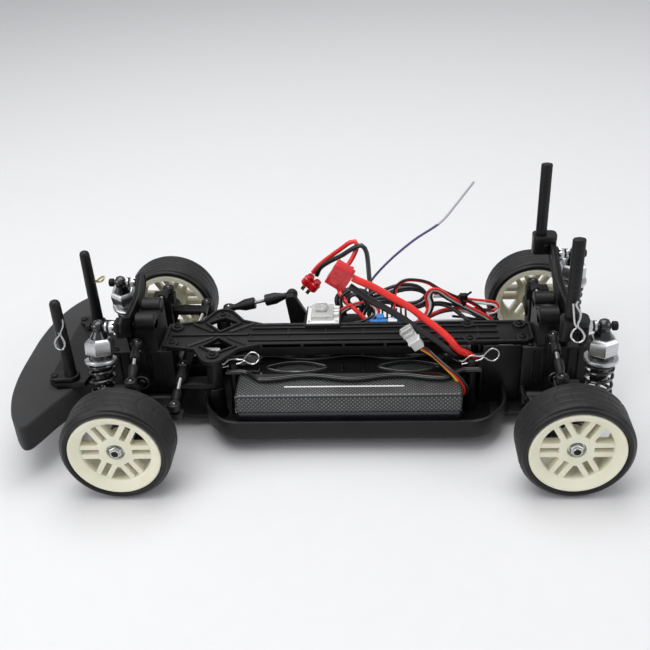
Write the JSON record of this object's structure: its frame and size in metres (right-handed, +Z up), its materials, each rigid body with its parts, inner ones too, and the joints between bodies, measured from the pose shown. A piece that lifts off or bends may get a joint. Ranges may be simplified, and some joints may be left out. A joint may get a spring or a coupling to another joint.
{
  "type": "rc car chassis",
  "caption": "Four-wheel-drive drift car rolling chassis with steering, sprung suspension, battery, servo, motor, radio gear, foam bumper and body posts.",
  "frame": {"origin": "on the ground, under the middle of the car's overall length and width", "axes": "+X to the car's nose, +Y to its left, +Z up"},
  "size_m": [0.3714, 0.19, 0.144],
  "materials": {
    "black_nylon": "moulded black nylon, satin, slightly dusty",
    "gloss_nylon": "black nylon with a smoother sheen",
    "bumper_foam": "charcoal closed-cell foam, matte and porous",
    "tyre_rubber": "black tyre rubber, satin",
    "ivory_plastic": "cream moulded plastic, semi-gloss",
    "battery_case": "black case in a grey woven-pattern sleeve",
    "steel": "bare steel",
    "aluminium": "machined silver aluminium",
    "shock_black": "black shock body",
    "red_silicone": "red silicone wire insulation",
    "black_silicone": "black silicone wire insulation",
    "red_plastic": "red moulded nylon plug",
    "antenna_sheath": "thin dark violet-grey wire sheath",
    "brass": "gold-plated contact",
    "white_plastic": "white plastic",
    "clear_plastic": "clear plastic",
    "blue_plastic": "blue plastic",
    "yellow_wire": "yellow wire insulation"
  },
  "bodies": {
    "chassis": {"chassis_tub": "black_nylon", "top_deck": "gloss_nylon", "front_gearbox": "black_nylon", "rear_gearbox": "black_nylon", "front_shock_tower": "black_nylon", "rear_shock_tower": "black_nylon", "bumper_foam": "bumper_foam", "front_body_post_left": "black_nylon", "front_body_post_right": "black_nylon", "rear_body_post_left": "black_nylon", "rear_body_post_right": "black_nylon", "battery_pack": "battery_case", "battery_strap": "gloss_nylon", "steering_servo": "black_nylon", "radio_receiver": "black_nylon", "speed_controller": "black_nylon", "drive_motor": "steel", "battery_lead": "red_silicone", "battery_plug": "red_plastic", "esc_lead": "red_silicone", "esc_plug": "red_plastic", "antenna_wire": "antenna_sheath"},
    "centre_shaft": {"centre_shaft": "steel"},
    "servo_horn": {"servo_horn": "black_nylon"},
    "servo_link": {"servo_link": "black_nylon"},
    "bellcrank_left": {"bellcrank_left": "black_nylon"},
    "bellcrank_right": {"bellcrank_right": "black_nylon"},
    "drag_link": {"drag_link": "black_nylon"},
    "tie_rod_left": {"tie_rod_left": "black_nylon"},
    "tie_rod_right": {"tie_rod_right": "black_nylon"},
    "front_lower_arm_left": {"front_lower_arm_left": "black_nylon"},
    "front_hub_left": {"front_hub_left": "black_nylon"},
    "front_upper_link_left": {"front_upper_link_left": "black_nylon"},
    "front_shock_body_left": {"front_shock_body_left": "shock_black"},
    "front_shock_shaft_left": {"front_shock_shaft_left": "shock_black"},
    "front_wheel_left": {"front_rim_left": "ivory_plastic", "front_tyre_left": "tyre_rubber"},
    "knuckle_left": {"knuckle_left": "black_nylon"},
    "front_lower_arm_right": {"front_lower_arm_right": "black_nylon"},
    "front_hub_right": {"front_hub_right": "black_nylon"},
    "front_upper_link_right": {"front_upper_link_right": "black_nylon"},
    "front_shock_body_right": {"front_shock_body_right": "shock_black"},
    "front_shock_shaft_right": {"front_shock_shaft_right": "shock_black"},
    "front_wheel_right": {"front_rim_right": "ivory_plastic", "front_tyre_right": "tyre_rubber"},
    "knuckle_right": {"knuckle_right": "black_nylon"},
    "rear_lower_arm_left": {"rear_lower_arm_left": "black_nylon"},
    "rear_hub_left": {"rear_hub_left": "black_nylon"},
    "rear_upper_link_left": {"rear_upper_link_left": "black_nylon"},
    "rear_shock_body_left": {"rear_shock_body_left": "shock_black"},
    "rear_shock_shaft_left": {"rear_shock_shaft_left": "shock_black"},
    "rear_wheel_left": {"rear_rim_left": "ivory_plastic", "rear_tyre_left": "tyre_rubber"},
    "rear_lower_arm_right": {"rear_lower_arm_right": "black_nylon"},
    "rear_hub_right": {"rear_hub_right": "black_nylon"},
    "rear_upper_link_right": {"rear_upper_link_right": "black_nylon"},
    "rear_shock_body_right": {"rear_shock_body_right": "shock_black"},
    "rear_shock_shaft_right": {"rear_shock_shaft_right": "shock_black"},
    "rear_wheel_right": {"rear_rim_right": "ivory_plastic", "rear_tyre_right": "tyre_rubber"}
  },
  "joints": [
    {"name": "front_suspension_left", "type": "hinge", "parent": "chassis", "child": "front_lower_arm_left", "pos_m": [0.10675, 0.021, 0.019], "axis": [1, 0, 0], "range_deg": [-6, 8], "stiffness_Nm_per_rad": 2, "springref_deg": -4.3},
    {"name": "front_hub_pivot_left", "type": "hinge", "parent": "front_lower_arm_left", "child": "front_hub_left", "pos_m": [0.10675, 0.058, 0.019], "axis": [1, 0, 0], "range_deg": [-9.12, 6.91]},
    {"name": "front_upper_link_pivot_left", "type": "hinge", "parent": "chassis", "child": "front_upper_link_left", "pos_m": [0.10615, 0.02, 0.0604], "axis": [1, 0, 0], "range_deg": [-6.37, 8.4]},
    {"name": "front_shock_pivot_left", "type": "hinge", "parent": "chassis", "child": "front_shock_body_left", "pos_m": [0.12535, 0.028, 0.0784], "axis": [1, 0, 0], "range_deg": [-0.3978, 0.4304]},
    {"name": "front_shock_stroke_left", "type": "slide", "parent": "front_shock_body_left", "child": "front_shock_shaft_left", "axis": [0, -0.3034, 0.9529], "range_m": [-0.0027, 0.0035]},
    {"name": "steering", "type": "hinge", "parent": "front_hub_left", "child": "knuckle_left", "pos_m": [0.10675, 0.0625, 0.0325], "axis": [0, 0, 1], "range_deg": [-15, 15]},
    {"name": "tie_rod_pivot_left", "type": "hinge", "parent": "drag_link", "child": "tie_rod_left", "pos_m": [0.07975, 0.017, 0.042], "axis": [1, 0, 0], "range_deg": [-5.34, 7.02]},
    {"name": "front_wheel_spin_left", "type": "hinge", "parent": "knuckle_left", "child": "front_wheel_left", "pos_m": [0.10675, 0.082, 0.0325], "axis": [0, 1, 0], "continuous": true},
    {"name": "front_suspension_right", "type": "hinge", "parent": "chassis", "child": "front_lower_arm_right", "pos_m": [0.10675, -0.021, 0.019], "axis": [-1, 0, 0], "range_deg": [-6, 8], "stiffness_Nm_per_rad": 2, "springref_deg": -4.3},
    {"name": "front_hub_pivot_right", "type": "hinge", "parent": "front_lower_arm_right", "child": "front_hub_right", "pos_m": [0.10675, -0.058, 0.019], "axis": [-1, 0, 0], "range_deg": [-9.12, 6.91]},
    {"name": "front_upper_link_pivot_right", "type": "hinge", "parent": "chassis", "child": "front_upper_link_right", "pos_m": [0.10615, -0.02, 0.0604], "axis": [-1, 0, 0], "range_deg": [-6.37, 8.4]},
    {"name": "front_shock_pivot_right", "type": "hinge", "parent": "chassis", "child": "front_shock_body_right", "pos_m": [0.12535, -0.028, 0.0784], "axis": [-1, 0, 0], "range_deg": [-0.3978, 0.4304]},
    {"name": "front_shock_stroke_right", "type": "slide", "parent": "front_shock_body_right", "child": "front_shock_shaft_right", "axis": [0, 0.3034, 0.9529], "range_m": [-0.0027, 0.0035]},
    {"name": "steering_right", "type": "hinge", "parent": "front_hub_right", "child": "knuckle_right", "pos_m": [0.10675, -0.0625, 0.0325], "axis": [0, 0, 1], "range_deg": [-15.3, 15.3]},
    {"name": "tie_rod_pivot_right", "type": "hinge", "parent": "drag_link", "child": "tie_rod_right", "pos_m": [0.07975, -0.017, 0.042], "axis": [-1, 0, 0], "range_deg": [-5.34, 7.02]},
    {"name": "front_wheel_spin_right", "type": "hinge", "parent": "knuckle_right", "child": "front_wheel_right", "pos_m": [0.10675, -0.082, 0.0325], "axis": [0, 1, 0], "continuous": true},
    {"name": "rear_suspension_left", "type": "hinge", "parent": "chassis", "child": "rear_lower_arm_left", "pos_m": [-0.15325, 0.021, 0.019], "axis": [1, 0, 0], "range_deg": [-6, 8], "stiffness_Nm_per_rad": 2, "springref_deg": -4.3},
    {"name": "rear_hub_pivot_left", "type": "hinge", "parent": "rear_lower_arm_left", "child": "rear_hub_left", "pos_m": [-0.15325, 0.058, 0.019], "axis": [1, 0, 0], "range_deg": [-9.43, 7.15]},
    {"name": "rear_upper_link_pivot_left", "type": "hinge", "parent": "chassis", "child": "rear_upper_link_left", "pos_m": [-0.14925, 0.02, 0.0623], "axis": [1, 0, 0], "range_deg": [-6.37, 8.4]},
    {"name": "rear_shock_pivot_left", "type": "hinge", "parent": "chassis", "child": "rear_shock_body_left", "pos_m": [-0.17185, 0.045, 0.085], "axis": [1, 0, 0], "range_deg": [-1.11, 0.91]},
    {"name": "rear_shock_stroke_left", "type": "slide", "parent": "rear_shock_body_left", "child": "rear_shock_shaft_left", "axis": [0, -0.0676, 0.9977], "range_m": [-0.0031, 0.004]},
    {"name": "rear_wheel_spin_left", "type": "hinge", "parent": "rear_hub_left", "child": "rear_wheel_left", "pos_m": [-0.15325, 0.082, 0.0325], "axis": [0, 1, 0], "continuous": true},
    {"name": "rear_suspension_right", "type": "hinge", "parent": "chassis", "child": "rear_lower_arm_right", "pos_m": [-0.15325, -0.021, 0.019], "axis": [-1, 0, 0], "range_deg": [-6, 8], "stiffness_Nm_per_rad": 2, "springref_deg": -4.3},
    {"name": "rear_hub_pivot_right", "type": "hinge", "parent": "rear_lower_arm_right", "child": "rear_hub_right", "pos_m": [-0.15325, -0.058, 0.019], "axis": [-1, 0, 0], "range_deg": [-9.43, 7.15]},
    {"name": "rear_upper_link_pivot_right", "type": "hinge", "parent": "chassis", "child": "rear_upper_link_right", "pos_m": [-0.14925, -0.02, 0.0623], "axis": [-1, 0, 0], "range_deg": [-6.37, 8.4]},
    {"name": "rear_shock_pivot_right", "type": "hinge", "parent": "chassis", "child": "rear_shock_body_right", "pos_m": [-0.17185, -0.045, 0.085], "axis": [-1, 0, 0], "range_deg": [-1.11, 0.91]},
    {"name": "rear_shock_stroke_right", "type": "slide", "parent": "rear_shock_body_right", "child": "rear_shock_shaft_right", "axis": [0, 0.0676, 0.9977], "range_m": [-0.0031, 0.004]},
    {"name": "rear_wheel_spin_right", "type": "hinge", "parent": "rear_hub_right", "child": "rear_wheel_right", "pos_m": [-0.15325, -0.082, 0.0325], "axis": [0, 1, 0], "continuous": true},
    {"name": "bellcrank_pivot_left", "type": "hinge", "parent": "chassis", "child": "bellcrank_left", "pos_m": [0.05875, 0.0236, 0.042], "axis": [0, 0, 1], "range_deg": [-21.61, 21.61]},
    {"name": "bellcrank_pivot_right", "type": "hinge", "parent": "chassis", "child": "bellcrank_right", "pos_m": [0.05875, -0.0236, 0.042], "axis": [0, 0, 1], "range_deg": [-21.61, 21.61]},
    {"name": "drag_link_pivot", "type": "hinge", "parent": "bellcrank_left", "child": "drag_link", "pos_m": [0.08075, 0.0236, 0.037], "axis": [0, 0, 1], "range_deg": [-21.61, 21.61]},
    {"name": "servo_output", "type": "hinge", "parent": "chassis", "child": "servo_horn", "pos_m": [0.00775, -0.04, 0.034], "axis": [0, 1, 0], "range_deg": [-19.89, 19.89]},
    {"name": "servo_link_pivot", "type": "hinge", "parent": "servo_horn", "child": "servo_link", "pos_m": [0.01475, -0.04, 0.056], "axis": [0, 1, 0], "range_deg": [-23.02, 23.02]},
    {"name": "centre_shaft_spin", "type": "hinge", "parent": "chassis", "child": "centre_shaft", "pos_m": [-0.02325, -0.004, 0.0325], "axis": [1, 0, 0], "continuous": true}
  ],
  "couplings": [
    {"joint": "front_hub_pivot_left", "follows": "front_suspension_left", "ratio": -1.1023},
    {"joint": "front_upper_link_pivot_left", "follows": "front_suspension_left", "ratio": 1.012},
    {"joint": "front_shock_pivot_left", "follows": "front_suspension_left", "ratio": 0.0163},
    {"joint": "front_shock_stroke_left", "follows": "front_suspension_left", "m_per_rad": 0.02468},
    {"joint": "tie_rod_pivot_left", "follows": "front_suspension_left", "ratio": 0.84},
    {"joint": "front_wheel_spin_left", "follows": "rear_wheel_spin_left", "ratio": 1},
    {"joint": "front_hub_pivot_right", "follows": "front_suspension_right", "ratio": -1.1023},
    {"joint": "front_upper_link_pivot_right", "follows": "front_suspension_right", "ratio": 1.012},
    {"joint": "front_shock_pivot_right", "follows": "front_suspension_right", "ratio": 0.0163},
    {"joint": "front_shock_stroke_right", "follows": "front_suspension_right", "m_per_rad": 0.02468},
    {"joint": "steering_right", "follows": "steering", "ratio": 1},
    {"joint": "tie_rod_pivot_right", "follows": "front_suspension_right", "ratio": 0.84},
    {"joint": "front_wheel_spin_right", "follows": "rear_wheel_spin_left", "ratio": 1},
    {"joint": "rear_hub_pivot_left", "follows": "rear_suspension_left", "ratio": -1.1413},
    {"joint": "rear_upper_link_pivot_left", "follows": "rear_suspension_left", "ratio": 1.0122},
    {"joint": "rear_shock_pivot_left", "follows": "rear_suspension_left", "ratio": -0.1017},
    {"joint": "rear_shock_stroke_left", "follows": "rear_suspension_left", "m_per_rad": 0.0282},
    {"joint": "rear_hub_pivot_right", "follows": "rear_suspension_right", "ratio": -1.1413},
    {"joint": "rear_upper_link_pivot_right", "follows": "rear_suspension_right", "ratio": 1.0122},
    {"joint": "rear_shock_pivot_right", "follows": "rear_suspension_right", "ratio": -0.1017},
    {"joint": "rear_shock_stroke_right", "follows": "rear_suspension_right", "m_per_rad": 0.0282},
    {"joint": "rear_wheel_spin_right", "follows": "rear_wheel_spin_left", "ratio": 1},
    {"joint": "bellcrank_pivot_left", "follows": "steering", "ratio": -1.4207},
    {"joint": "bellcrank_pivot_right", "follows": "steering", "ratio": -1.4207},
    {"joint": "drag_link_pivot", "follows": "steering", "ratio": 1.4207},
    {"joint": "servo_output", "follows": "steering", "ratio": -1.306},
    {"joint": "servo_link_pivot", "follows": "steering", "ratio": 1.5149},
    {"joint": "centre_shaft_spin", "follows": "rear_wheel_spin_left", "ratio": 2.5}
  ]
}
